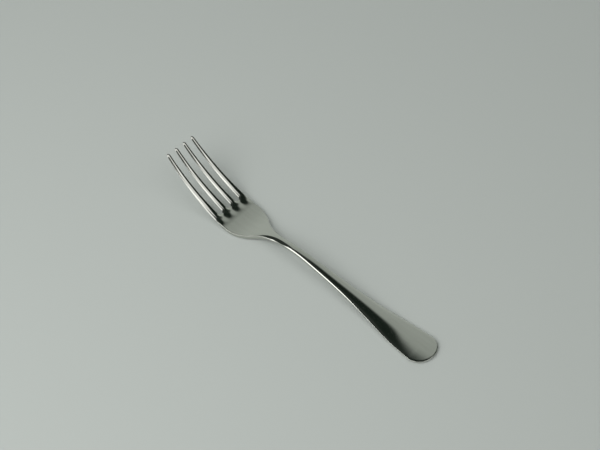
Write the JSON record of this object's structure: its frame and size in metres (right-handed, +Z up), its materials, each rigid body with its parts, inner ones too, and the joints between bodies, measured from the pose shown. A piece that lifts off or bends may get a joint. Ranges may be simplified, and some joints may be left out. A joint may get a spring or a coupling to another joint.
{
  "type": "serving fork",
  "caption": "Polished steel serving fork with long upswept tines, flat shoulders, a slim arched neck and a broad round-ended handle, for lifting and serving food.",
  "frame": {"origin": "on the table, at the centre of the fork's footprint, midway between the end of the handle and the points of the tines", "axes": "+X along the fork from the handle to the points, +Y to the left of someone who holds the handle with the tines turned up, +Z up from the table"},
  "size_m": [0.2299, 0.0306, 0.0325],
  "materials": {
    "steel": "mirror-polished stainless steel, the same all over"
  },
  "bodies": {
    "root": {"handle": "steel", "neck": "steel", "tine_root": "steel", "outer_left_tine": "steel", "inner_left_tine": "steel", "inner_right_tine": "steel", "outer_right_tine": "steel"}
  },
  "joints": []
}
